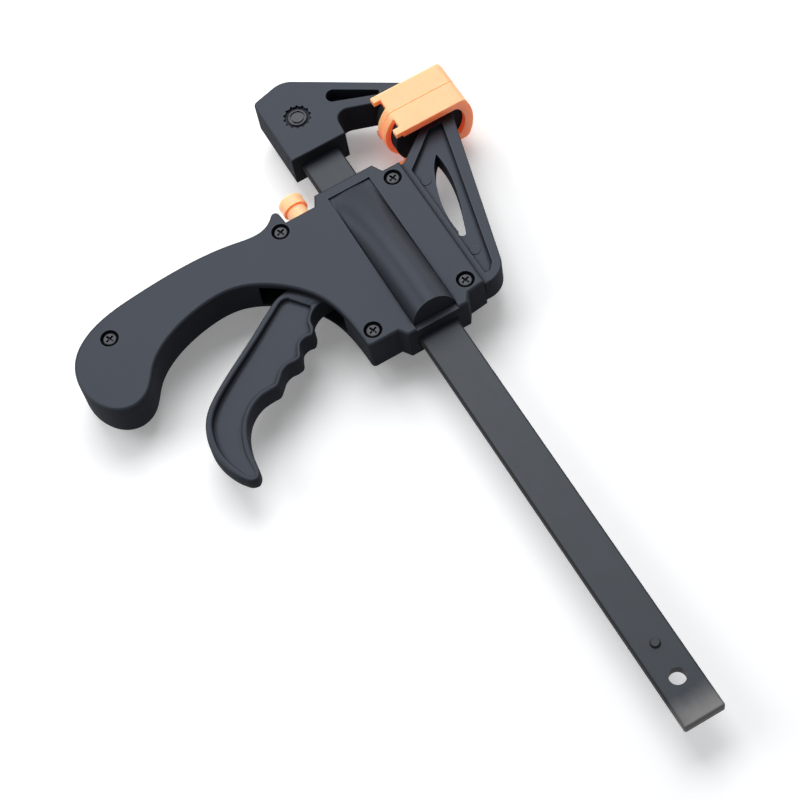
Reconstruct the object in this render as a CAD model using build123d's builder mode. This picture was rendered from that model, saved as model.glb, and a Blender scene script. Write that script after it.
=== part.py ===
from build123d import *
import math
import os

# One-hand quick release bar clamp, lying on its side as it rests on a bench.
# Origin: centre of the fixed pad's clamping face. +X runs along the bar to its
# free end, +Y points out of the throat to the jaw tips, +Z is up.
# Outlines are given from the bar's centreline, which lies at y = -reach.

# Bar
reach = 37.0              # pad centre to bar centreline
bar_width = 14.0
bar_thick = 4.0
bar_tail = 26.0           # bar end inside the fixed jaw, back from the clamping plane
bar_free_end = 230.4      # clamping plane to the free end
bar_end_radius = 0.8
bar_edge = 0.8            # rounding of the rolled strip's long edges
hang_hole = 5.5
hang_hole_inset = 14.7    # hanging hole to the free end
stop_inset = 26.7         # punched stop to the free end
stop_diameter = 3.4
stop_height = 0.9
stop_taper = 25.0

# Running fits
slide_gap = 0.3           # plastic or plate round the bar, each side
seat_gap = 0.1            # bar in the fixed jaw, each side
pad_gap = 0.3             # seam between the closed pads
pin_gap = 0.05            # hinge pin in its bore, radial
side_gap = 0.15           # trigger to the pivot bosses, each side

# Pads and the jaw flanges that they slide on
pad_half = 10.5
pad_inner_end = 21.7
pad_outer_end = 52.3
pad_inner_bulge = 4.4
pad_outer_bulge = 2.6
pad_corner = 2.2
pad_depth = 8.8
pad_face = 2.5
pad_wall = 2.1
pad_lip = 1.0
pad_lip_thick = 2.0
pad_fit = 0.2
hook_width = 2.4
hook_end = 23.5
flange_inset = 2.0        # flange short of the pad at its open end
flange_bulge = 2.6

# Fixed jaw
jaw_half = 7.0
jaw_face = -3.7           # throat side of the jaw's foot
jaw_sole = -10.2
jaw_tip = 43.4
jaw_web_half = 1.6        # web left in the middle of the pocket
jaw_edge = 0.5
jaw_round = 1.5           # the same edges on the underside
jaw_foot_top = 10.5
jaw_corners = {           # outline corners and their rounding
    (-31.8, jaw_sole): 2.0,
    (-35.0, 2.4): 8.5,
    (-13.9, 11.4): 3.8,
}
jaw_pocket = [(-21.9, 15.6), (-13.4, 28.0), (-12.0, 28.4), (-11.5, 27.0), (-17.4, 13.0), (-20.4, 12.0)]

# Rivet through the fixed jaw and the bar
pin_x = -18.6
pin_diameter = 4.0
pin_head = 6.6
pin_head_height = 0.7
pin_groove = (4.0, 5.2)   # ring groove in the head, inner and outer diameter
pin_groove_depth = 0.5
pin_recess = 8.8
pin_recess_depth = 0.9
recess_notch = 1.0
recess_notches = 14

# Shells
shell_half = 7.25
shell_wall = 2.2
shell_floor = 2.0
cover_edge = 0.9          # rounding of the cover's outer edges
body_edge = 1.2           # the same on the underside
joint_gap = 0.3           # cover's upper edge to the jaw arm
top_edge = 19.9
bottom_edge = -23.2
front_face = 12.6
front_shoulder = 16.5
rear_shoulder = 73.1
rear_face = 76.2
neck_middle = 0.6         # necks and ridge sit a little above the bar's centreline
neck_half = 11.0
shoulder_half = 13.0
front_block = 18.6        # inner side of the front wall
rear_block = 71.6         # inner side of the rear wall, the drive spring's seat

# Ridge over the drive spring, standing in a shallow trench: places along x and heights
hump_half = 7.9
hump_trench = 0.6
hump_heights = [(front_shoulder, -0.4), (42.0, 4.4), (73.8, 6.4)]
hump_draft = 13.0

# Jaw arm of the body shell
arm_half = 5.5
arm_edge = 0.5
arm_round = 1.6           # edges of the arm's underside
arm_pocket = 1.8
arm_end = 72.4
arm_tip = 45.4
arm_high = 34.0           # where the throat side of the arm meets the flange
arm_corners = {           # outline corners and their rounding
    (16.9, 21.3): 4.0,
    (arm_end, 27.8): 8.0,
}
arm_hollow = [(9.8, 40.2), (66.2, 26.3), (68.8, 24.2), (68.8, 22.0), (20.9, 22.0), (15.5, 28.4), (9.8, 34.8)]
arm_hole_top = [(18.8, 32.6), (27.0, 32.6), (34.0, 31.3), (50.6, 25.6)]
arm_hole_end = (51.7, 24.2)
arm_hole_low = [(49.2, 23.4), (37.5, 24.1), (28.7, 26.8), (20.5, 31.0)]
ejector_marks = [(26.2, 24.3), (58.4, 24.3)]
ejector_mark = 3.5
ejector_mark_height = 0.2

# Pistol grip: its edge from the thumb beak round to the housing's lower rear corner
beak = [(12.5, -23.6), (11.2, -24.8), (11.7, -26.4)]
rear_corner = 1.5
grip_points = [
    (15.0, -31.5), (14.2, -41.8), (12.8, -60.0), (14.0, -79.0), (18.2, -97.0), (25.0, -105.4),
    (34.5, -108.4), (44.4, -106.2), (49.8, -101.2), (51.0, -96.0), (49.2, -91.2), (41.2, -84.6),
    (34.2, -75.0), (30.2, -62.0), (30.0, -50.0), (35.1, -39.3), (42.6, -31.3), (50.6, -26.4),
    (60.0, -24.0), (rear_shoulder - rear_corner, bottom_edge),
]

# Trigger
pivot_x = 43.0
pivot_y = -21.5
pivot_pin = 4.0
pivot_pin_end = 0.5       # pin end to the outside of the shell
pivot_boss = 9.0
trigger_half = 4.5
trigger_web_half = 3.2
trigger_round = 1.6       # edges along the back and the belly
trigger_cusp = 0.8        # points between the finger grooves
nose_face = 45.4
nose_top = -9.6
nose_radius = 1.0
finger_neck = [(48.4, -20.5), (48.4, -29.8), (52.2, -34.7), (57.2, -35.4)]
finger_grooves = [(58.6, -40.4), (62.6, -42.8), (63.8, -49.4), (66.8, -53.2)]
finger_tail = [(68.4, -61.6), (76.9, -69.8), (92.4, -73.2)]
trigger_tip = [(93.8, -74.2), (92.8, -75.6)]
trigger_back = [
    (85.5, -79.8), (77.0, -82.2), (69.0, -81.8), (62.4, -78.0), (52.4, -62.0), (41.4, -43.9),
    (38.2, -35.5), (37.9, -20.5),
]

# Hollow in each flank of the trigger, inside its rim
dish_top = [(40.4, -37.8), (42.8, -35.6), (45.6, -32.8), (48.2, -32.2), (51.6, -35.8), (56.1, -36.6)]
dish_grooves = [(57.6, -41.1), (61.4, -44.0), (62.8, -49.9), (65.6, -54.2)]
dish_tail = [(67.2, -62.0), (76.2, -71.2), (91.0, -74.6)]
dish_back = [(86.4, -77.7), (77.4, -79.8), (70.6, -79.0), (64.4, -75.0), (54.2, -60.4)]

# Drive plates and spring
plate_half = shell_half - shell_floor - 0.35
drive_plate = 2.5
drive_gap = 0.15
drive_top = 10.6
drive_bottom = -14.0
spring_wire = 1.1
spring_mean = 16.6
spring_turns = 6.5
spring_room = 0.5

# Brake plate, spring and release button
brake_thick = 3.0
brake_x = 25.5
brake_fulcrum = 11.2
brake_bottom = -20.6
brake_tilt = 6.0
brake_rib = 2.4
brake_slot = 14.8         # grips the bar at the rest tilt
brake_spring_y = -13.6
brake_spring_mean = 4.4
brake_spring_wire = 0.7
brake_spring_turns = 4.5
brake_seat = 31.0
button_y = -17.0
button_front = 5.5
button_step = 10.0
button_head = 8.8
button_stem = 7.2
button_flange = 9.6
button_flange_thick = 1.5
button_gap = 0.2

# Self-tapping pan head screws, recessed in the cover
screw_places = [(21.0, 15.0), (68.3, 15.2), (68.3, -19.0), (19.1, -26.5), (24.2, -92.4)]
screw_head = 4.6
screw_head_height = 1.8
screw_head_edge = 0.5
screw_cross = 3.0
screw_cross_width = 0.7
screw_cross_depth = 1.1
screw_recess = 6.2
screw_wall = 0.8          # boss round the recess
screw_sink = 2.2
screw_shank = 2.5
screw_length = 9.0
screw_pilot = 2.6
screw_hole = 3.0

# Derived places
flange_low = pad_inner_end + flange_inset
flange_high = pad_outer_end - pad_wall - pad_fit
flange_half = pad_half - pad_wall - pad_fit
flange_front = pad_face + pad_fit
flange_back = pad_depth - pad_lip_thick - pad_fit
cavity_half = shell_half - shell_floor
bar_slot = bar_width + 2 * slide_gap
bar_slot_height = bar_thick + 2 * slide_gap
plates_front = nose_face + joint_gap
plates_back = plates_front + 2 * drive_plate + drive_gap


def level(z):
    """Plane parallel to the clamp's side at height z, its origin over the bar's centreline."""
    return Plane(origin=(0, -reach, z))


def across(x):
    """Plane square to the bar at x: its local x points up the jaws, its local y is +Z."""
    return Plane(origin=(x, -reach, 0), x_dir=(0, 1, 0), z_dir=(1, 0, 0))


def pad_outline(half, low, high, bulge):
    """Face of a pad or a jaw flange: straight sides, ends bowed outwards, round corners."""
    with BuildSketch() as outline:
        with BuildLine():
            upper = Line((low + bulge, half), (high - pad_outer_bulge, half))
            outer = ThreePointArc(upper @ 1, (high, 0), (high - pad_outer_bulge, -half))
            lower = Line(outer @ 1, (low + bulge, -half))
            ThreePointArc(lower @ 1, (low, 0), upper @ 0)
        make_face()
        fillet(outline.vertices(), pad_corner)
    return outline.sketch


def coil(start, end, y, mean, wire, turns):
    """Compression spring along X between start and end, its axis at height y from the bar."""
    length = end - start - wire
    with BuildPart() as spring:
        with BuildLine():
            centre = (start + wire / 2, y - reach, 0)
            path = Helix(length / turns, length, mean / 2, center=centre, direction=(1, 0, 0))
        with BuildSketch(Plane(origin=path @ 0, z_dir=path % 0)):
            Circle(wire / 2)
        sweep(path=path, is_frenet=True)
    return spring.part


# ---------------------------------------------------------------- bar
with BuildPart() as bar:
    with BuildSketch(level(-bar_thick / 2)):
        with Locations(((bar_free_end - bar_tail) / 2, 0)):
            Rectangle(bar_free_end + bar_tail, bar_width)
    extrude(amount=bar_thick)
    fillet(bar.edges().filter_by(Axis.X), bar_edge)
    fillet(bar.edges().filter_by(Axis.Z).group_by(Axis.X)[-1], bar_end_radius)
    with BuildSketch(level(bar_thick / 2)):
        with Locations((bar_free_end - hang_hole_inset, 0)):
            Circle(hang_hole / 2)
        with Locations((pin_x, 0)):
            Circle(pin_diameter / 2)
    extrude(amount=-bar_thick, mode=Mode.SUBTRACT)
    # the stop is punched up from below: a blunt cone above and its pit underneath
    with BuildSketch(level(bar_thick / 2)):
        with Locations((bar_free_end - stop_inset, 0)):
            Circle(stop_diameter / 2)
    extrude(amount=stop_height, taper=stop_taper)
    with BuildSketch(level(-bar_thick / 2)):
        with Locations((bar_free_end - stop_inset, 0)):
            Circle(stop_diameter / 2)
    extrude(amount=stop_height, taper=stop_taper, mode=Mode.SUBTRACT)

# ---------------------------------------------------------------- fixed jaw
with BuildPart() as fixed_jaw:
    heel, bend, crook = jaw_corners
    with BuildSketch(level(-jaw_half)) as jaw_side:
        with BuildLine():
            Polyline(
                (jaw_face, jaw_foot_top), (jaw_face, jaw_sole), heel, bend, (-flange_back, jaw_tip),
                (-flange_front, jaw_tip), (-flange_front, flange_low + 5), (-flange_back, flange_low + 7),
                crook, close=True,
            )
        make_face()
        for corner, radius in jaw_corners.items():
            fillet(jaw_side.vertices().sort_by_distance(corner)[0], radius)
    extrude(amount=2 * jaw_half)
    fillet(fixed_jaw.edges().group_by(Axis.Z)[-1], jaw_edge)
    fillet(fixed_jaw.edges().group_by(Axis.Z)[0], jaw_round)
    with BuildSketch(across(-flange_back)):
        add(pad_outline(flange_half, flange_low, flange_high, flange_bulge))
    extrude(amount=flange_back - flange_front)
    # socket for the bar
    with BuildSketch(across(jaw_face)):
        Rectangle(bar_width + 2 * seat_gap, bar_thick + 2 * seat_gap)
    extrude(amount=-(bar_tail + jaw_face + seat_gap), mode=Mode.SUBTRACT)
    # pocket between the outer rim and the throat rim, from both sides down to a web
    for side in (1, -1):
        with BuildSketch(level(side * jaw_half)):
            with BuildLine():
                rim = Line(*jaw_pocket[:2])
                point = ThreePointArc(*jaw_pocket[1:4])
                rib = Line(point @ 1, jaw_pocket[4])
                ThreePointArc(rib @ 1, jaw_pocket[5], rim @ 0)
            make_face()
        extrude(amount=-side * (jaw_half - jaw_web_half), mode=Mode.SUBTRACT)
        # notched recess for the rivet's head
        with BuildSketch(level(side * jaw_half)):
            with Locations((pin_x, 0)):
                Circle(pin_recess / 2)
                with PolarLocations(pin_recess / 2, recess_notches):
                    Circle(recess_notch / 2)
        extrude(amount=-side * pin_recess_depth, mode=Mode.SUBTRACT)
    with BuildSketch(level(jaw_half)):
        with Locations((pin_x, 0)):
            Circle(pin_diameter / 2)
    extrude(amount=-2 * jaw_half, mode=Mode.SUBTRACT)

# rivet through the jaw and the bar, with a ring groove in each head
with BuildPart() as jaw_rivet:
    with BuildSketch(level(0)):
        with Locations((pin_x, 0)):
            Circle(pin_diameter / 2)
    extrude(amount=jaw_half - pin_recess_depth, both=True)
    for side in (1, -1):
        with BuildSketch(level(side * (jaw_half - pin_recess_depth))):
            with Locations((pin_x, 0)):
                Circle(pin_head / 2)
        extrude(amount=side * pin_head_height)
    chamfer(jaw_rivet.edges().group_by(Axis.Z)[-1], pin_head_height / 3)
    chamfer(jaw_rivet.edges().group_by(Axis.Z)[0], pin_head_height / 3)
    for side in (1, -1):
        with BuildSketch(level(side * (jaw_half - pin_recess_depth + pin_head_height))):
            with Locations((pin_x, 0)):
                Circle(pin_groove[1] / 2)
                Circle(pin_groove[0] / 2, mode=Mode.SUBTRACT)
        extrude(amount=-side * pin_groove_depth, mode=Mode.SUBTRACT)


# ---------------------------------------------------------------- pads
def make_pad(front, out):
    """Cup that slides over a jaw flange: face plate, rim with an inner lip, end hooks.

    front is the clamping face's x, and out is -1 or 1, the side that the cup opens to.
    """
    with BuildPart() as pad:
        with BuildSketch(across(front)):
            add(pad_outline(pad_half, pad_inner_end, pad_outer_end, pad_inner_bulge))
        extrude(amount=out * pad_depth)
        # the rim stops where the inner end starts to bow; only the face plate goes on
        with BuildSketch(across(front + out * pad_face)):
            with Locations((pad_inner_end, 0)):
                Rectangle(2 * pad_inner_bulge, 3 * pad_half)
        extrude(amount=out * pad_depth, mode=Mode.SUBTRACT)
        for z in (pad_half - pad_wall, -pad_half):
            with BuildSketch(level(z)):
                with Locations((front + out * (pad_depth - hook_width / 2), hook_end)):
                    hook_length = pad_inner_end + 2 * pad_inner_bulge - hook_end
                    Rectangle(hook_width, hook_length, align=(Align.CENTER, Align.MIN))
            extrude(amount=pad_wall)
        # room for the flange, open at the inner end, and a narrower opening inside the lip
        for narrower, depth in ((0, pad_depth - pad_face - pad_lip_thick), (pad_lip, pad_depth)):
            room_half = pad_half - pad_wall - narrower
            room_low = pad_inner_end - pad_inner_bulge
            room_high = pad_outer_end - pad_wall - narrower
            with BuildSketch(across(front + out * pad_face)):
                add(pad_outline(room_half, room_low, room_high, pad_inner_bulge))
            extrude(amount=out * depth, mode=Mode.SUBTRACT)
    return pad.part


fixed_pad = make_pad(0.0, -1)
moving_pad = make_pad(pad_gap, 1)


# ---------------------------------------------------------------- shells
def housing_outline():
    """Neck, housing and pistol grip, seen from the screw side."""
    with BuildSketch() as outline:
        with BuildLine():
            nose = Polyline(
                (front_shoulder, top_edge), (front_shoulder, neck_middle + shoulder_half),
                (front_face, neck_middle + neck_half), (front_face, neck_middle - neck_half),
                (front_shoulder, neck_middle - shoulder_half), (front_shoulder, bottom_edge), beak[0],
            )
            # thumb beak under the release button
            ThreePointArc(*beak)
            grip = Spline(beak[-1], *grip_points)
            corner = RadiusArc(grip @ 1, (rear_shoulder, bottom_edge + rear_corner), -rear_corner)
            Polyline(
                corner @ 1, (rear_shoulder, neck_middle - shoulder_half), (rear_face, neck_middle - neck_half),
                (rear_face, neck_middle + neck_half), (rear_shoulder, neck_middle + shoulder_half),
                (arm_end, top_edge), nose @ 0,
            )
        make_face()
    return outline.sketch


def cavity_outline():
    """Room inside a shell: walls set in from the outline, less ribs and screw bosses."""
    with BuildSketch() as room:
        with BuildLine():
            outside = Spline(beak[-1], *grip_points, mode=Mode.PRIVATE)
            inside = []
            for n in range(1, 31):
                along = outside % (n / 30)
                inside.append(outside @ (n / 30) + Vector(-along.Y, along.X) * shell_wall)
            wall = Spline(*inside)
            Polyline(
                wall @ 1, (rear_block, bottom_edge + shell_wall), (rear_block, top_edge - shell_wall),
                (front_block, top_edge - shell_wall), (front_block, beak[-1][1]), wall @ 0,
            )
        make_face()
        with Locations(*screw_places):
            Circle(screw_recess / 2 + screw_wall, mode=Mode.SUBTRACT)
        # ribs that hold the upper end of the brake plate, and the seat of its spring
        rib_gap = brake_thick / 2 + joint_gap
        for x, side in ((brake_x - rib_gap, Align.MAX), (brake_x + rib_gap, Align.MIN)):
            with Locations((x, brake_fulcrum - joint_gap)):
                Rectangle(brake_rib, top_edge - brake_fulcrum, align=(side, Align.MIN), mode=Mode.SUBTRACT)
        with Locations((brake_seat, brake_bottom)):
            Rectangle(brake_rib, brake_rib * 5, align=(Align.MIN, Align.MIN), mode=Mode.SUBTRACT)
    return room.sketch


def trigger_gate():
    """The stretch of the grip's front wall that the trigger comes out through."""
    with BuildSketch() as gate:
        with BuildLine():
            Polyline(
                (35.0, -43.6), (30.0, -41.2), (33.0, -34.5), (40.0, -27.0), (50.0, -22.0), (58.0, -21.2),
                (58.0, -30.0), (44.0, -40.0), close=True,
            )
        make_face()
    return gate.sketch


# ridge over the drive spring: sunk at the neck, fuller towards the rear
with BuildPart() as hump:
    foot = shell_half - hump_trench - joint_gap
    for x, height in hump_heights:
        with BuildSketch(across(x)):
            with BuildLine():
                base = Line((neck_middle - hump_half, foot), (neck_middle + hump_half, foot))
                ThreePointArc(base @ 1, (neck_middle, shell_half + height), base @ 0)
            make_face()
    loft()
    hump_end = hump_heights[-1][0]
    tail = Plane(origin=(hump_end, -reach, shell_half), z_dir=(1, 0, math.tan(math.radians(hump_draft))))
    split(bisect_by=tail, keep=Keep.BOTTOM)


def make_shell(side):
    """Half of the hollow housing and grip, on the +Z side for 1 and the -Z side for -1."""
    with BuildPart() as shell:
        with BuildSketch(level(0)):
            add(housing_outline())
        extrude(amount=side * shell_half)
        outside = shell.faces().sort_by(Axis.Z)[-1 if side > 0 else 0]
        fillet(outside.edges(), cover_edge if side > 0 else body_edge)
        # trench first, then the ridge in it
        with BuildSketch(across(front_shoulder)):
            with Locations((neck_middle, side * shell_half)):
                Rectangle(2 * hump_half, 2 * hump_trench)
        extrude(amount=rear_face, mode=Mode.SUBTRACT)
        add(hump.part if side > 0 else mirror(hump.part, about=Plane.XY, mode=Mode.PRIVATE))
        with BuildSketch(level(0)):
            add(cavity_outline())
        extrude(amount=side * cavity_half, mode=Mode.SUBTRACT)
        with BuildSketch(level(0)):
            add(trigger_gate())
        extrude(amount=side * cavity_half, mode=Mode.SUBTRACT)
        # low boss beside the trigger, with a blind bore for its pin
        with BuildSketch(level(side * (trigger_half + side_gap))):
            with Locations((pivot_x, pivot_y)):
                Circle(pivot_boss / 2)
        extrude(amount=side * (cavity_half - trigger_half))
        with BuildSketch(level(0)):
            with Locations((pivot_x, pivot_y)):
                Circle(pivot_pin / 2)
        extrude(amount=side * (shell_half - pivot_pin_end), mode=Mode.SUBTRACT)
        # round room for the drive spring, then the slot for the bar
        with BuildSketch(across(plates_front)):
            Circle((spring_mean + spring_wire) / 2 + spring_room)
        extrude(amount=rear_block - plates_front, mode=Mode.SUBTRACT)
        with BuildSketch(across(0)):
            Rectangle(bar_slot, bar_slot_height)
        extrude(amount=rear_face + 1, mode=Mode.SUBTRACT)
        # bore for the release button
        with BuildSketch(across(front_shoulder - 1)):
            with Locations((button_y, 0)):
                Circle(button_stem / 2 + button_gap)
        extrude(amount=front_block - front_shoulder + 2, mode=Mode.SUBTRACT)
    return shell


# jaw arm of the body shell, its root cut back to clear the cover's upper edge
with BuildPart() as arm:
    arm_jaw = pad_gap + flange_back
    arm_root = top_edge - shell_wall
    throat_corner, shoulder_corner = arm_corners
    with BuildSketch(level(-arm_half)) as arm_side:
        with BuildLine():
            Polyline(
                (throat_corner[0], arm_root), throat_corner, (arm_jaw, arm_high), (arm_jaw, arm_tip),
                shoulder_corner, (arm_end, arm_root), close=True,
            )
        make_face()
        for corner, radius in arm_corners.items():
            fillet(arm_side.vertices().sort_by_distance(corner)[0], radius)
    extrude(amount=2 * arm_half)
    fillet(arm.edges().group_by(Axis.Z)[-1], arm_edge)
    fillet(arm.edges().group_by(Axis.Z)[0], arm_round)
    with BuildSketch(level(0)):
        with Locations((0, top_edge + joint_gap)):
            Rectangle(2 * rear_face, 2 * shell_wall + joint_gap, align=(Align.CENTER, Align.MAX))
    extrude(amount=arm_half, mode=Mode.SUBTRACT)

with BuildPart() as front_cover:
    add(make_shell(1).part)
    with BuildSketch(level(shell_half)):
        with Locations(*screw_places):
            Circle(screw_recess / 2)
    extrude(amount=-screw_sink, mode=Mode.SUBTRACT)
    with BuildSketch(level(shell_half)):
        with Locations(*screw_places):
            Circle(screw_hole / 2)
    extrude(amount=-shell_half, mode=Mode.SUBTRACT)

with BuildPart() as body_shell:
    add(make_shell(-1).part)
    add(arm.part)
    with BuildSketch(across(pad_gap + flange_front)):
        add(pad_outline(flange_half, flange_low, flange_high, flange_bulge))
    extrude(amount=flange_back - flange_front)
    for side in (1, -1):
        with BuildSketch(level(side * arm_half)) as pocket:
            with BuildLine():
                Polyline(*arm_hollow, close=True)
            make_face()
            fillet(pocket.vertices(), arm_edge)
        extrude(amount=-side * arm_pocket, mode=Mode.SUBTRACT)
    # round marks of the ejector pins on the hollow's floor
    with BuildSketch(level(arm_half - arm_pocket)):
        with Locations(*ejector_marks):
            Circle(ejector_mark / 2)
    extrude(amount=ejector_mark_height)
    # long tear-shaped lightening hole
    with BuildSketch(level(arm_half)):
        with BuildLine():
            Spline(*arm_hole_top)
            ThreePointArc(arm_hole_top[-1], arm_hole_end, arm_hole_low[0])
            Spline(*arm_hole_low, arm_hole_top[0])
        make_face()
    extrude(amount=-2 * arm_half, mode=Mode.SUBTRACT)
    with BuildSketch(level(0)):
        with Locations(*screw_places):
            Circle(screw_pilot / 2)
    extrude(amount=-(screw_length - (shell_half - screw_sink) + joint_gap), mode=Mode.SUBTRACT)

with BuildPart() as cover_screws:
    seat = shell_half - screw_sink
    with BuildSketch(level(seat)):
        with Locations(*screw_places):
            Circle(screw_head / 2)
    extrude(amount=screw_head_height)
    fillet(cover_screws.edges().group_by(Axis.Z)[-1], screw_head_edge)
    with BuildSketch(level(seat + screw_head_height)):
        for turn in (20, 110):
            with Locations(*screw_places):
                Rectangle(screw_cross, screw_cross_width, rotation=turn)
    extrude(amount=-screw_cross_depth, mode=Mode.SUBTRACT)
    with BuildSketch(level(seat)):
        with Locations(*screw_places):
            Circle(screw_shank / 2)
    extrude(amount=-screw_length)

# ---------------------------------------------------------------- trigger
def trigger_outline():
    """Cam nose, pivot, finger grooves and hooked tail of the trigger lever."""
    with BuildSketch() as outline:
        with BuildLine():
            push = Line((nose_face, nose_top - nose_radius), (nose_face, -15.0))
            neck = Spline(push @ 1, *finger_neck)
            first = ThreePointArc(neck @ 1, *finger_grooves[:2])
            second = ThreePointArc(first @ 1, *finger_grooves[2:])
            third = Spline(second @ 1, *finger_tail)
            tip = ThreePointArc(third @ 1, *trigger_tip)
            back = Spline(tip @ 1, *trigger_back)
            crest = Line(back @ 1, (nose_face - 5, nose_top - nose_radius))
            ThreePointArc(crest @ 1, (nose_face - 2.4, nose_top), push @ 0)
        make_face()
    return outline.sketch


def dish_outline():
    """Hollow in each flank of the trigger: its front edge repeats the finger grooves."""
    with BuildSketch() as outline:
        with BuildLine():
            top = Spline(*dish_top)
            first = ThreePointArc(top @ 1, *dish_grooves[:2])
            second = ThreePointArc(first @ 1, *dish_grooves[2:])
            tail = Spline(second @ 1, *dish_tail)
            Spline(tail @ 1, *dish_back, top @ 0)
        make_face()
    return outline.sketch


with BuildPart() as trigger:
    with BuildSketch(level(-trigger_half)) as trigger_side:
        add(trigger_outline())
        for cusp in (finger_neck[-1], finger_grooves[1], finger_grooves[3]):
            fillet(trigger_side.vertices().sort_by_distance(cusp)[0], trigger_cusp)
    extrude(amount=2 * trigger_half)
    fillet(trigger.edges().filter_by(GeomType.BSPLINE).sort_by(SortBy.LENGTH)[-2:], trigger_round)
    # dished flanks below the housing: a rim all round a thinner web
    for side in (1, -1):
        with BuildSketch(level(side * trigger_half)):
            add(dish_outline())
        extrude(amount=-side * (trigger_half - trigger_web_half), mode=Mode.SUBTRACT)
    with BuildSketch(level(trigger_half)):
        with Locations((pivot_x, pivot_y)):
            Circle(pivot_pin / 2 + pin_gap)
    extrude(amount=-2 * trigger_half, mode=Mode.SUBTRACT)

with BuildPart() as trigger_pin:
    with BuildSketch(level(0)):
        with Locations((pivot_x, pivot_y)):
            Circle(pivot_pin / 2)
    extrude(amount=shell_half - pivot_pin_end, both=True)


# ---------------------------------------------------------------- drive plates and spring
def make_drive_plate(x):
    """Steel plate, slotted for the bar, that jams on it when the trigger pushes one end."""
    with BuildPart() as plate:
        with BuildSketch(across(x)) as blank:
            with Locations(((drive_top + drive_bottom) / 2, 0)):
                Rectangle(drive_top - drive_bottom, 2 * plate_half)
            fillet(blank.vertices(), 1.0)
            Rectangle(bar_slot, bar_slot_height, mode=Mode.SUBTRACT)
        extrude(amount=drive_plate)
    return plate.part


drive_plate_1 = make_drive_plate(plates_front)
drive_plate_2 = make_drive_plate(plates_front + drive_plate + drive_gap)
drive_spring = coil(plates_back + drive_gap, rear_block - drive_gap, 0, spring_mean, spring_wire, spring_turns)

# ---------------------------------------------------------------- brake plate and spring
tilted = Plane(
    origin=(brake_x, brake_fulcrum - reach, 0),
    x_dir=(math.sin(math.radians(brake_tilt)), math.cos(math.radians(brake_tilt)), 0),
    z_dir=(math.cos(math.radians(brake_tilt)), -math.sin(math.radians(brake_tilt)), 0),
)
with BuildPart() as brake_plate:
    with BuildSketch(tilted.offset(-brake_thick / 2)):
        with Locations((brake_bottom / 2 - brake_fulcrum / 2, 0)):
            Rectangle(brake_fulcrum - brake_bottom, 2 * plate_half)
        # the slot grips the bar's edges at this tilt and frees them when square
        with Locations((-brake_fulcrum, 0)):
            Rectangle(brake_slot, bar_slot_height, mode=Mode.SUBTRACT)
    extrude(amount=brake_thick)
    # the upper end is rounded about the fulcrum, where it rocks between the ribs
    with BuildSketch(level(-plate_half)):
        with Locations((brake_x, brake_fulcrum)):
            Circle(brake_thick / 2)
    extrude(amount=2 * plate_half)
brake_back = brake_x + brake_thick / 2 - (brake_fulcrum - brake_spring_y) * math.tan(math.radians(brake_tilt))
brake_spring = coil(
    brake_back + joint_gap, brake_seat - drive_gap, brake_spring_y,
    brake_spring_mean, brake_spring_wire, brake_spring_turns,
)

# ---------------------------------------------------------------- release button
# the tilted plate comes nearest at the lower edge of the stem
stem_low = brake_fulcrum - button_y + button_stem / 2
plate_front = brake_thick / 2 / math.cos(math.radians(brake_tilt))
button_back = brake_x - plate_front - stem_low * math.tan(math.radians(brake_tilt)) - button_gap
with BuildPart() as release_button:
    for start, end, diameter in (
        (button_front, button_step, button_head),
        (button_step, button_back, button_stem),
        (front_block + button_gap, front_block + button_gap + button_flange_thick, button_flange),
    ):
        with BuildSketch(across(start)):
            with Locations((button_y, 0)):
                Circle(diameter / 2)
        extrude(amount=end - start)
    fillet(release_button.edges().group_by(Axis.X)[0], 0.8)

# ---------------------------------------------------------------- export
pieces = {
    "bar": bar.part,
    "fixed_jaw": fixed_jaw.part,
    "jaw_rivet": jaw_rivet.part,
    "fixed_pad": fixed_pad,
    "moving_pad": moving_pad,
    "body_shell": body_shell.part,
    "front_cover": front_cover.part,
    "cover_screws": cover_screws.part,
    "trigger": trigger.part,
    "trigger_pin": trigger_pin.part,
    "drive_plate_1": drive_plate_1,
    "drive_plate_2": drive_plate_2,
    "drive_spring": drive_spring,
    "brake_plate": brake_plate.part,
    "brake_spring": brake_spring,
    "release_button": release_button.part,
}
os.makedirs("parts", exist_ok=True)
for name, piece in pieces.items():
    piece.label = name
    export_step(piece, f"parts/{name}.step")
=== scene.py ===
import math

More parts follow.
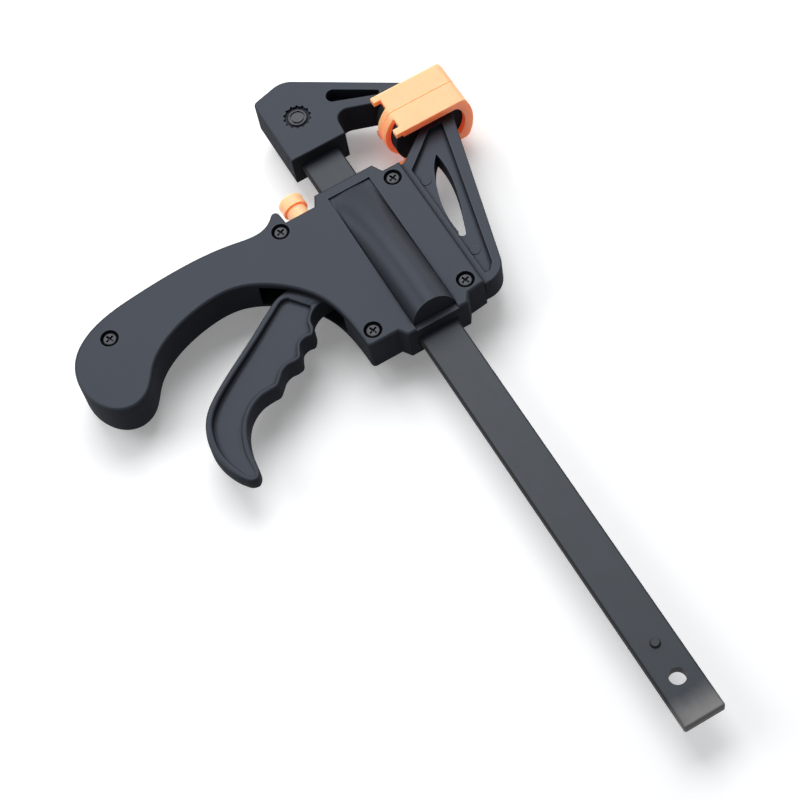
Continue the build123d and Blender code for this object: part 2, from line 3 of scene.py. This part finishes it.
import bmesh
import bpy
import numpy as np
from mathutils import Euler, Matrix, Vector


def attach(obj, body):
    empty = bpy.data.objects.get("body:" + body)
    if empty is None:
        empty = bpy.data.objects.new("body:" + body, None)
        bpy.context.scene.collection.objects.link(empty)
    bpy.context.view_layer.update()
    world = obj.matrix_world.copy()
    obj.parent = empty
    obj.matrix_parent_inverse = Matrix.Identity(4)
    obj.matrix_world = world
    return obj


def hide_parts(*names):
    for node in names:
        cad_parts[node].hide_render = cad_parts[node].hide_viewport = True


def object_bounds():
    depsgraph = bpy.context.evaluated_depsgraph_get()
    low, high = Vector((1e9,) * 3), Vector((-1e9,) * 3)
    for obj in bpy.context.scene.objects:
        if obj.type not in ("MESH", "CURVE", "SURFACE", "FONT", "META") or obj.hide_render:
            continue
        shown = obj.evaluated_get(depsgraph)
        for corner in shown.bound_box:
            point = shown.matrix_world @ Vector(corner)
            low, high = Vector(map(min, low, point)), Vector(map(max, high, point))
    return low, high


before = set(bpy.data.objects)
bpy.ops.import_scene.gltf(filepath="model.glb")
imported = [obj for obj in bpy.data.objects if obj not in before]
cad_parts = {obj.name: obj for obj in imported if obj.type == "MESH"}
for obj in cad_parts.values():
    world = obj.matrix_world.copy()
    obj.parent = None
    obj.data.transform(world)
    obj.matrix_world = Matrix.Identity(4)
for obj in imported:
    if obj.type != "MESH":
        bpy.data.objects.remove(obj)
cad_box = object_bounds()


# ---- Bar -----------------------------------------------------------------------------
# Cold drawn flat steel, 14 x 4 mm, blackened before it is cut to length. The shear cut at
# the free end is bare, and the two rolled edges and the sides carry painted shade.

bar_line = -0.037             # y of the bar's centre line, in metres as are all of these
oxide_thins = 0.2235          # along X, where the oxide begins to thin out
oxide_gone = 0.2325           # and where the last of it is gone
oxide_sway = 0.006            # how far that front wanders
hole_middle = (0.2157, bar_line, 0)
hole_reach = 0.0034           # from the hole's middle to the rims of its wall


def linear(code):
    """sRGB hex colour as linear red, green, blue and alpha 1."""
    part = np.array([int(code[i:i + 2], 16) for i in (1, 3, 5)]) / 255
    return (*np.where(part <= 0.04045, part / 12.92, ((part + 0.055) / 1.055) ** 2.4), 1)


def connect(tree, node, sockets):
    """Wire a node's inputs to the sockets given for them, or set them to the values given."""
    for name, value in sockets.items():
        if isinstance(value, bpy.types.NodeSocket):
            tree.links.new(value, node.inputs[name])
        else:
            node.inputs[name].default_value = value


def add_node(tree, kind, sockets=None, **settings):
    """A new node with its settings, and its inputs wired to sockets or set to values."""
    made = tree.nodes.new(kind)
    for name, value in settings.items():
        setattr(made, name, value)
    connect(tree, made, sockets or {})
    return made


def new_finish(name):
    """A new material with its nodes, its shader and the place on the piece in metres."""
    made = bpy.data.materials.new(name)
    made.use_nodes = True
    tree = made.node_tree
    place = add_node(tree, "ShaderNodeTexCoord").outputs["Object"]
    return made, tree, tree.nodes["Principled BSDF"], place


def levelness(tree):
    """1 where the surface lies level and 0 on a side wall: the size of its normal's Z."""
    normal = add_node(tree, "ShaderNodeNewGeometry").outputs["Normal"]
    upright = add_node(tree, "ShaderNodeSeparateXYZ", {"Vector": normal}).outputs["Z"]
    return add_node(tree, "ShaderNodeMath", {0: upright}, operation="ABSOLUTE").outputs[0]


def dress(finish, *names):
    """Give CAD nodes one finish in place of their plain one."""
    for name in names:
        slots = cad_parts[name].data.materials
        slots.clear()
        slots.append(finish)


def blackened_bar():
    """Black oxide on drawn strip: dark, satin, fine lines along X, bare steel at the cut."""
    made, tree, shader, place = new_finish("black_oxide_strip_steel")
    # drawing lines 0.4 mm apart and 40 mm long
    lines = add_node(tree, "ShaderNodeMapping", {"Vector": place, "Scale": (25, 2500, 2500)})
    drawn = add_node(tree, "ShaderNodeTexNoise", {
        "Vector": lines.outputs[0], "Scale": 1.0, "Detail": 3.0,
    }).outputs["Fac"]
    # handling marks, 6 to 10 mm across
    marks = add_node(tree, "ShaderNodeTexNoise", {
        "Vector": place, "Scale": 130.0, "Detail": 4.0,
    }).outputs["Fac"]
    # the oxide thins out over the last 10 mm before the shear cut, with an uneven front
    along = add_node(tree, "ShaderNodeSeparateXYZ", {"Vector": place}).outputs["X"]
    uneven = add_node(tree, "ShaderNodeMath", {0: marks, 1: oxide_sway}, operation="MULTIPLY")
    front = add_node(tree, "ShaderNodeMath", {0: along, 1: uneven.outputs[0]}, operation="ADD")
    end = add_node(tree, "ShaderNodeMapRange", {
        "Value": front.outputs[0], "From Min": oxide_thins, "From Max": oxide_gone,
    }).outputs[0]
    # the wall of the punched hanging hole is bare too
    away = add_node(tree, "ShaderNodeVectorMath", {0: place, 1: hole_middle}, operation="DISTANCE")
    punched = add_node(tree, "ShaderNodeMapRange", {
        "Value": away.outputs["Value"], "From Min": hole_reach, "From Max": hole_reach - 0.0001,
    }).outputs[0]
    bare = add_node(tree, "ShaderNodeMath", {0: end, 1: punched}, operation="MAXIMUM").outputs[0]
    oxide = add_node(tree, "ShaderNodeMix", {
        "Factor": marks, "A": linear("#1c232b"), "B": linear("#262e38"),
    }, data_type="RGBA").outputs["Result"]
    # painted shade: the rolled edges and sides are darker than the flats, and rougher: from a
    # slope of 8 degrees to one of 32
    edge = add_node(tree, "ShaderNodeMapRange", {
        "Value": levelness(tree), "From Min": 0.99, "From Max": 0.85,
    }).outputs[0]
    painted_edge_shade = add_node(tree, "ShaderNodeMix", {
        "Factor": edge, "A": oxide, "B": linear("#0b0d10"),
    }, data_type="RGBA").outputs["Result"]
    colour = add_node(tree, "ShaderNodeMix", {
        "Factor": bare, "A": painted_edge_shade, "B": linear("#686767"),
    }, data_type="RGBA").outputs["Result"]
    satin = add_node(tree, "ShaderNodeMapRange", {
        "Value": drawn, "To Min": 0.38, "To Max": 0.52,
    }).outputs[0]
    dull = add_node(tree, "ShaderNodeMath", {0: edge, 1: 0.3}, operation="MULTIPLY").outputs[0]
    rough = add_node(tree, "ShaderNodeMath", {0: satin, 1: dull}, operation="ADD").outputs[0]
    # a thin oxide stays on the bare steel, so it is less than all metal
    metal = add_node(tree, "ShaderNodeMath", {0: bare, 1: 0.4}, operation="MULTIPLY").outputs[0]
    bump = add_node(tree, "ShaderNodeBump", {"Height": drawn, "Strength": 0.25, "Distance": 0.00003})
    connect(tree, shader, {
        "Base Color": colour, "Roughness": rough, "Metallic": metal,
        "Specular IOR Level": 0.3, "Normal": bump.outputs[0],
    })
    return made


dress(blackened_bar(), "bar")


# ---- Mouldings -----------------------------------------------------------------------
# Fixed jaw, both shells and the trigger are injection moulded in charcoal glass-filled
# nylon. The spark-eroded tool leaves a fine even texture. Corners carry a painted highlight,
# and creases and side walls painted shade.

def moulded_nylon():
    """Glass-filled nylon: charcoal, satin, fine grain, painted highlight on corners, painted shade in
    creases and on walls.
    """
    made, tree, shader, place = new_finish("charcoal_moulded_nylon")
    # the tool's texture is about 0.2 mm; 0.5 mm is the finest that shows
    grain = add_node(tree, "ShaderNodeTexNoise", {
        "Vector": place, "Scale": 2000.0, "Detail": 2.0,
    }).outputs["Fac"]
    # the fibres cloud the colour and the gloss, in patches of about 11 mm
    cloud = add_node(tree, "ShaderNodeTexNoise", {
        "Vector": place, "Scale": 90.0, "Detail": 3.0,
    }).outputs["Fac"]
    colour = add_node(tree, "ShaderNodeMix", {
        "Factor": cloud, "A": linear("#1e2126"), "B": linear("#26292f"),
    }, data_type="RGBA").outputs["Result"]
    # painted highlight on corners: where the surface turns by 8 to 32 degrees within 0.6 mm
    bevel = add_node(tree, "ShaderNodeBevel", {"Radius": 0.0006}, samples=6).outputs[0]
    plain = add_node(tree, "ShaderNodeNewGeometry").outputs["Normal"]
    same = add_node(tree, "ShaderNodeVectorMath", {0: bevel, 1: plain}, operation="DOT_PRODUCT")
    corner = add_node(tree, "ShaderNodeMapRange", {
        "Value": same.outputs["Value"], "From Min": 0.99, "From Max": 0.85, "To Max": 0.5,
    }).outputs[0]
    painted_corner_highlight = add_node(tree, "ShaderNodeMix", {
        "Factor": corner, "A": colour, "B": linear("#454b56"),
    }, data_type="RGBA").outputs["Result"]
    # painted shade in creases, within 2 mm of a wall, which are also made duller
    near = add_node(tree, "ShaderNodeAmbientOcclusion", {"Distance": 0.002}, samples=8)
    crease = add_node(tree, "ShaderNodeMapRange", {
        "Value": near.outputs["AO"], "From Min": 0.9, "From Max": 0.45,
    }).outputs[0]
    painted_crease_shade = add_node(tree, "ShaderNodeMix", {
        "Factor": crease, "A": painted_corner_highlight, "B": linear("#08090b"),
    }, data_type="RGBA").outputs["Result"]
    # the tool's side walls are eroded coarser than its flats, which makes them duller, and they
    # carry painted shade that makes them darker: from a slope of 53 degrees to one of 78
    wall = add_node(tree, "ShaderNodeMapRange", {
        "Value": levelness(tree), "From Min": 0.6, "From Max": 0.2,
    }).outputs[0]
    painted_wall_shade = add_node(tree, "ShaderNodeMix", {
        "Factor": wall, "A": painted_crease_shade, "B": linear("#0d0f13"),
    }, data_type="RGBA").outputs["Result"]
    satin = add_node(tree, "ShaderNodeMapRange", {
        "Value": cloud, "To Min": 0.36, "To Max": 0.44,
    }).outputs[0]
    coarse = add_node(tree, "ShaderNodeMath", {0: crease, 1: wall}, operation="MAXIMUM").outputs[0]
    dull = add_node(tree, "ShaderNodeMath", {0: coarse, 1: 0.45}, operation="MULTIPLY").outputs[0]
    rough = add_node(tree, "ShaderNodeMath", {0: satin, 1: dull}, operation="ADD").outputs[0]
    bump = add_node(tree, "ShaderNodeBump", {"Height": grain, "Strength": 0.2, "Distance": 0.00005})
    connect(tree, shader, {
        "Base Color": painted_wall_shade, "Roughness": rough, "Specular IOR Level": 0.25,
        "Specular Tint": linear("#dfe9ff"), "Normal": bump.outputs[0],
    })
    return made


nylon = moulded_nylon()
dress(nylon, "fixed_jaw", "body_shell", "front_cover")


# ---- Trigger -------------------------------------------------------------------------
# Lever moulded in the same nylon. A round bead stiffens its back and belly, the web
# inside it is 2 mm lower, and the finger side is a soft wave with a narrow rim.

# outer edge from the push face round the fingers, tip and back to the nose, with the
# width of the rim there: x and y from the bar's centre line, all in mm
trigger_edge = np.array([
    (45.4, -11.2, 0), (45.4, -15.0, 0), (47.2, -19.0, 0), (48.2, -24.0, 0), (48.8, -28.4, 0),
    (50.2, -31.4, 1.2), (52.8, -33.6, 1.3), (56.0, -34.3, 1.3), (57.6, -35.7, 1.3),
    (57.5, -38.0, 1.3), (58.4, -40.4, 1.3), (60.8, -41.8, 1.3), (62.8, -42.9, 1.3),
    (63.3, -44.8, 1.3), (63.2, -47.4, 1.3), (64.2, -50.0, 1.4), (66.2, -52.0, 1.4),
    (67.9, -54.0, 1.4), (68.1, -56.8, 1.5), (68.5, -60.2, 1.6), (70.2, -64.0, 1.7),
    (72.8, -67.0, 1.8), (76.0, -69.2, 1.9), (80.2, -70.9, 2.0), (84.6, -72.0, 1.9),
    (88.6, -72.5, 1.6), (91.4, -73.1, 1.4), (92.8, -74.7, 1.3), (92.4, -76.7, 1.4),
    (90.4, -78.6, 1.7), (86.4, -80.8, 2.2), (81.8, -82.2, 2.3), (77.0, -82.6, 2.4),
    (72.2, -81.9, 2.4), (67.8, -80.2, 2.3), (63.6, -77.2, 2.3), (60.2, -73.2, 2.2),
    (56.4, -67.7, 2.2), (51.8, -60.2, 2.2), (47.2, -52.6, 2.2), (42.0, -44.4, 2.2),
    (38.9, -38.8, 2.1), (38.1, -34.0, 0), (37.9, -27.0, 0), (38.0, -20.5, 0), (39.2, -15.0, 0),
    (40.6, -11.2, 0), (42.0, -9.8, 0), (44.2, -9.8, 0),
])
key_steps = 6                 # points on the outline from one key to the next
neck_keys = np.arange(-7, 5)  # keys with no rim: the neck that the housing hides
web_back = (40.6, -36.6)      # upper end of the web, at the back
web_front = (48.4, -30.8)     # and at the finger side
web_start = (40.7, -38.1)     # point of the straight back that the rise counts from
web_square = (0.843, 0.537)   # direction square to the back, towards the fingers
web_middle = 62               # x that the fall counts from
web_height = 2.2              # of the web where both are nothing, from the middle plane
web_rise = 0.06               # per mm square to the back
web_fall = 0.035              # per mm of x
crest_height = 4.5            # of the bead, from the middle plane
crest_loss = 0.38             # share of that height lost towards the tip
thin_from = 60                # x where the bead begins to get lower
thin_run = 32                 # and how far along x it goes on
full_rim = 2.1                # narrower rims draw the bead's rings together
mm = 0.001                    # in metres
# rings of the bead: distance in from the outer line, with the height as a share of the
# crest's, and from the inner line, with the height as a share of the step web to crest
outer_rings = [(0, 0.7), (0.08, 0.87), (0.3, 0.97), (0.65, 1)]
inner_rings = [(-0.45, 1), (-0.15, 0.93), (0, 0.7), (0.05, 0.4), (0.15, 0.1), (0.4, 0), (0.6, 0)]


def closed_curve(keys, steps):
    """Smooth closed line through the keys.

    Each span is a cubic that leaves and meets its two keys at their slopes. A key's slope is
    that of the two chords beside it, the shorter one counting for more.
    """
    ahead = np.roll(keys, -1, axis=0)
    run = np.linalg.norm(ahead - keys, axis=1, keepdims=True)
    before = np.roll(run, 1, axis=0)
    chord = (ahead - keys) / run
    slope = (chord * before + np.roll(chord, 1, axis=0) * run) / (run + before)
    t = np.linspace(0, 1, steps, endpoint=False)[None, :, None]
    start, end = keys[:, None], ahead[:, None]
    out, into = (slope * run)[:, None], (np.roll(slope, -1, axis=0) * run)[:, None]
    line = ((2 * t**3 - 3 * t**2 + 1) * start + (t**3 - 2 * t**2 + t) * out
            + (3 * t**2 - 2 * t**3) * end + (t**3 - t**2) * into)
    return line.reshape(-1, keys.shape[1])


def web(flat):
    """Height of the web's plane: up with the distance from the straight back, down with x."""
    square = (flat - web_start) @ web_square
    return web_height + web_rise * square - web_fall * (flat[:, 0] - web_middle)


def crest(flat):
    """Height of the bead: full at the neck, then down a smooth step towards the tip."""
    share = np.clip((flat[:, 0] - thin_from) / thin_run, 0, 1)
    return crest_height * (1 - crest_loss * share**2 * (3 - 2 * share))


def trigger_mesh():
    """Lever as rings carried round its outline, each flank closed by a flat web.

    The inner line lies one rim width inside the outer one, and along the hidden neck it
    runs straight across the web's upper end. A ring's place is a distance from the outer
    or the inner line. Its height is a share of the crest's on the bead, and a share of the
    step from web to crest inside it. The web is a plane that rises towards the fingers.
    """
    outer, width = trigger_edge[:, :2], trigger_edge[:, 2:]
    along = np.roll(outer, -1, axis=0) - np.roll(outer, 1, axis=0)
    inward = np.column_stack((along[:, 1], -along[:, 0]))
    inner = outer + inward / np.linalg.norm(along, axis=1, keepdims=True) * width
    inner[neck_keys] = np.linspace(web_back, web_front, len(neck_keys) + 2)[1:-1]
    both = closed_curve(np.hstack((outer, inner)), key_steps)
    outer, inner = both[:, :2], both[:, 2:]
    gap = np.linalg.norm(inner - outer, axis=1, keepdims=True)
    step = (inner - outer) / gap * np.minimum(1, gap / full_rim)
    flank = []
    for far, share in outer_rings:
        flat = outer + step * far
        flank.append((flat, crest(flat) * share))
    for far, share in inner_rings:
        flat = inner + step * far
        flank.append((flat, web(flat) + (crest(flat) - web(flat)) * share))
    rings = flank[::-1] + [(flat, -high) for flat, high in flank]
    points = np.vstack([np.column_stack(ring) for ring in rings])
    count = len(outer)
    ring, turn = np.meshgrid(np.arange(len(rings) - 1), np.arange(count), indexing="ij")
    first, second = ring * count + turn, ring * count + (turn + 1) % count
    quads = np.stack((first, second, second + count, first + count), axis=-1).reshape(-1, 4)
    caps = [list(range(count))[::-1], list(range(len(points) - count, len(points)))]
    made = bpy.data.meshes.new("trigger_lever")
    made.from_pydata(points * mm + (0, bar_line, 0), [], quads.tolist() + caps)
    shape = bmesh.new()
    shape.from_mesh(made)
    bmesh.ops.recalc_face_normals(shape, faces=shape.faces)
    shape.to_mesh(made)
    shape.free()
    made.shade_smooth()
    return made


lever = bpy.data.objects.new("trigger_lever", trigger_mesh())
lever.data.materials.append(nylon)
bpy.context.scene.collection.objects.link(lever)
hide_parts("trigger")
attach(lever, "trigger_lever")


# ---- Pads ----------------------------------------------------------------------------
# Soft orange thermoplastic cups that slide on to the jaw flanges. The material is
# slightly translucent, and a painted red-orange glow keeps its shaded sides from going dull.

def soft_orange(name, deep, pale):
    """Translucent elastomer between two oranges: satin skin, red light carried 12 mm, painted glow."""
    made, tree, shader, place = new_finish(name)
    # grain of 0.6 mm from the tool, and flow clouds of about 6 mm
    grain = add_node(tree, "ShaderNodeTexNoise", {
        "Vector": place, "Scale": 1600.0, "Detail": 2.0,
    }).outputs["Fac"]
    cloud = add_node(tree, "ShaderNodeTexNoise", {
        "Vector": place, "Scale": 160.0, "Detail": 3.0,
    }).outputs["Fac"]
    colour = add_node(tree, "ShaderNodeMix", {
        "Factor": cloud, "A": linear(deep), "B": linear(pale),
    }, data_type="RGBA").outputs["Result"]
    rough = add_node(tree, "ShaderNodeMapRange", {
        "Value": cloud, "To Min": 0.38, "To Max": 0.5,
    }).outputs[0]
    bump = add_node(tree, "ShaderNodeBump", {"Height": grain, "Strength": 0.2, "Distance": 0.00004})
    # the emission is the day-glow dye, which gives blue light back as red-orange
    # painted light: an even red-orange glow from the emission, which keeps the shaded sides bright
    connect(tree, shader, {
        "Base Color": colour, "Roughness": rough, "Subsurface Weight": 0.8,
        "Subsurface Radius": (1.0, 0.2, 0.08), "Subsurface Scale": 0.012,
        "Emission Color": linear("#ff5430"), "Emission Strength": 0.3, "Normal": bump.outputs[0],
    })
    return made


dress(soft_orange("orange_soft_elastomer", "#e0ba82", "#e9c791"), "fixed_pad", "moving_pad")
# the button is the same orange, moulded thinner and so a little paler
dress(soft_orange("pale_orange_elastomer", "#e2c48c", "#ecd5a0"), "release_button")


# ---- Screws, rivet and pin -----------------------------------------------------------
# Case-hardened steel, black zinc plated. The rivet's rolled head and the screw heads
# are a little shinier than the nylon round them.

def black_zinc():
    """Black passivated zinc on steel: dark grey metal with a cloudy sheen."""
    made, tree, shader, place = new_finish("black_zinc_steel")
    # clouds of the plating bath, 1.4 mm across
    cloud = add_node(tree, "ShaderNodeTexNoise", {
        "Vector": place, "Scale": 700.0, "Detail": 3.0,
    }).outputs["Fac"]
    colour = add_node(tree, "ShaderNodeMix", {
        "Factor": cloud, "A": linear("#1f2124"), "B": linear("#3a3c40"),
    }, data_type="RGBA").outputs["Result"]
    rough = add_node(tree, "ShaderNodeMapRange", {
        "Value": cloud, "To Min": 0.3, "To Max": 0.5,
    }).outputs[0]
    bump = add_node(tree, "ShaderNodeBump", {"Height": cloud, "Strength": 0.2, "Distance": 0.00003})
    connect(tree, shader, {
        "Base Color": colour, "Roughness": rough, "Metallic": 0.8, "Normal": bump.outputs[0],
    })
    return made


dress(black_zinc(), "cover_screws", "jaw_rivet", "trigger_pin")


# ---- Plates and springs --------------------------------------------------------------
# Hardened steel plates punched from strip, and springs coiled from drawn wire. They sit
# in the housing with a film of oil on them.

def oiled_steel():
    """Ground steel under oil: bright metal, fine scratches, brownish film."""
    made, tree, shader, place = new_finish("oiled_spring_steel")
    # scratches 0.3 mm apart and 5 mm long, and patches of oil about 4 mm across
    scratch = add_node(tree, "ShaderNodeMapping", {"Vector": place, "Scale": (3300, 200, 3300)})
    fine = add_node(tree, "ShaderNodeTexNoise", {
        "Vector": scratch.outputs[0], "Scale": 1.0, "Detail": 2.0,
    }).outputs["Fac"]
    film = add_node(tree, "ShaderNodeTexNoise", {
        "Vector": place, "Scale": 250.0, "Detail": 3.0,
    }).outputs["Fac"]
    colour = add_node(tree, "ShaderNodeMix", {
        "Factor": film, "A": linear("#8d8c88"), "B": linear("#a9a7a2"),
    }, data_type="RGBA").outputs["Result"]
    rough = add_node(tree, "ShaderNodeMapRange", {
        "Value": fine, "To Min": 0.22, "To Max": 0.4,
    }).outputs[0]
    bump = add_node(tree, "ShaderNodeBump", {"Height": fine, "Strength": 0.2, "Distance": 0.00002})
    connect(tree, shader, {
        "Base Color": colour, "Roughness": rough, "Metallic": 1.0, "Normal": bump.outputs[0],
    })
    return made


dress(oiled_steel(), "drive_plate_1", "drive_plate_2", "drive_spring", "brake_plate", "brake_spring")


# ---- Studio --------------------------------------------------------------------------
# Plain pale floor under the clamp and an even pale surround. One broad soft box hangs above
# the fixed jaw's end, with a weak one on the jaw tips' side and one on the grip's side.

floor_gap = 0.0001            # floor below the lowest point, in metres like the next two
floor_reach = 3               # half the floor's side
clamp_middle = Vector((0.06, -0.04, 0))


def seen_white(tree):
    """1 for camera, glossy and transmission rays, which see a white ground, else 0."""
    ray = add_node(tree, "ShaderNodeLightPath").outputs
    gloss = add_node(tree, "ShaderNodeMath", {
        0: ray["Is Camera Ray"], 1: ray["Is Glossy Ray"],
    }, operation="MAXIMUM").outputs[0]
    return add_node(tree, "ShaderNodeMath", {
        0: gloss, 1: ray["Is Transmission Ray"],
    }, operation="MAXIMUM").outputs[0]


def matt_floor():
    """Matt board: white to the eye, a mid grey in what it throws back on the clamp."""
    made, tree, shader, place = new_finish("white_board")
    seen = seen_white(tree)
    colour = add_node(tree, "ShaderNodeMix", {
        "Factor": seen, "A": linear("#b4b6b8"), "B": linear("#fbfcfd"),
    }, data_type="RGBA").outputs["Result"]
    # a fifth of white on top, so that the shadow stays open, and all white 1 m away
    away = add_node(tree, "ShaderNodeVectorMath", {0: place}, operation="LENGTH")
    white = add_node(tree, "ShaderNodeMapRange", {
        "Value": away.outputs["Value"], "From Min": 0.4, "From Max": 1.0, "To Min": 0.2, "To Max": 1.0,
    }).outputs[0]
    lift = add_node(tree, "ShaderNodeMath", {0: seen, 1: white}, operation="MULTIPLY").outputs[0]
    connect(tree, shader, {
        "Base Color": colour, "Roughness": 0.9, "Specular IOR Level": 0.0,
        "Emission Color": linear("#ffffff"), "Emission Strength": lift,
    })
    return made


rest = cad_box[0][2] - floor_gap
board = bpy.data.meshes.new("floor")
corners = [(x * floor_reach, y * floor_reach, rest) for x, y in ((-1, -1), (1, -1), (1, 1), (-1, 1))]
board.from_pydata(corners, [], [(0, 1, 2, 3)])
board.materials.append(matt_floor())
floor = bpy.data.objects.new("floor", board)
bpy.context.scene.collection.objects.link(floor)

surround = bpy.data.worlds.new("surround")
surround.use_nodes = True
sky = surround.node_tree
# white to the eye and in gloss, and a weak even fill for the rest
strength = add_node(sky, "ShaderNodeMapRange", {
    "Value": seen_white(sky), "To Min": 0.15, "To Max": 1.0,
}).outputs[0]
connect(sky, sky.nodes["Background"], {"Color": linear("#fbfcfd"), "Strength": strength})
bpy.context.scene.world = surround


def soft_box(name, direction, distance, size, watts):
    """Square area light at a distance along a direction from the clamp, facing it."""
    lamp = bpy.data.lights.new(name, "AREA")
    lamp.size = size
    lamp.energy = watts
    held = bpy.data.objects.new(name, lamp)
    held.location = clamp_middle + Vector(direction).normalized() * distance
    held.rotation_euler = (held.location - clamp_middle).to_track_quat("Z", "Y").to_euler()
    bpy.context.scene.collection.objects.link(held)


soft_box("key_light", (-0.53, 0.14, 0.84), distance=1.3, size=0.95, watts=12.5)
soft_box("left_light", (-0.49, 0.72, 0.48), distance=1.3, size=0.8, watts=4)
soft_box("right_light", (-0.49, -0.65, 0.58), distance=1.3, size=0.95, watts=9)

lens = bpy.data.cameras.new("camera")
lens.lens = 97.2
lens.sensor_width = 36
lens.clip_start = 0.05
camera = bpy.data.objects.new("camera", lens)
camera.location = (0.40495, -0.16300, 0.59770)
camera.rotation_euler = Euler([math.radians(a) for a in (28.291, 6.212, 60.449)])
bpy.context.scene.collection.objects.link(camera)
bpy.context.scene.camera = camera
bpy.context.scene.view_settings.view_transform = "Standard"
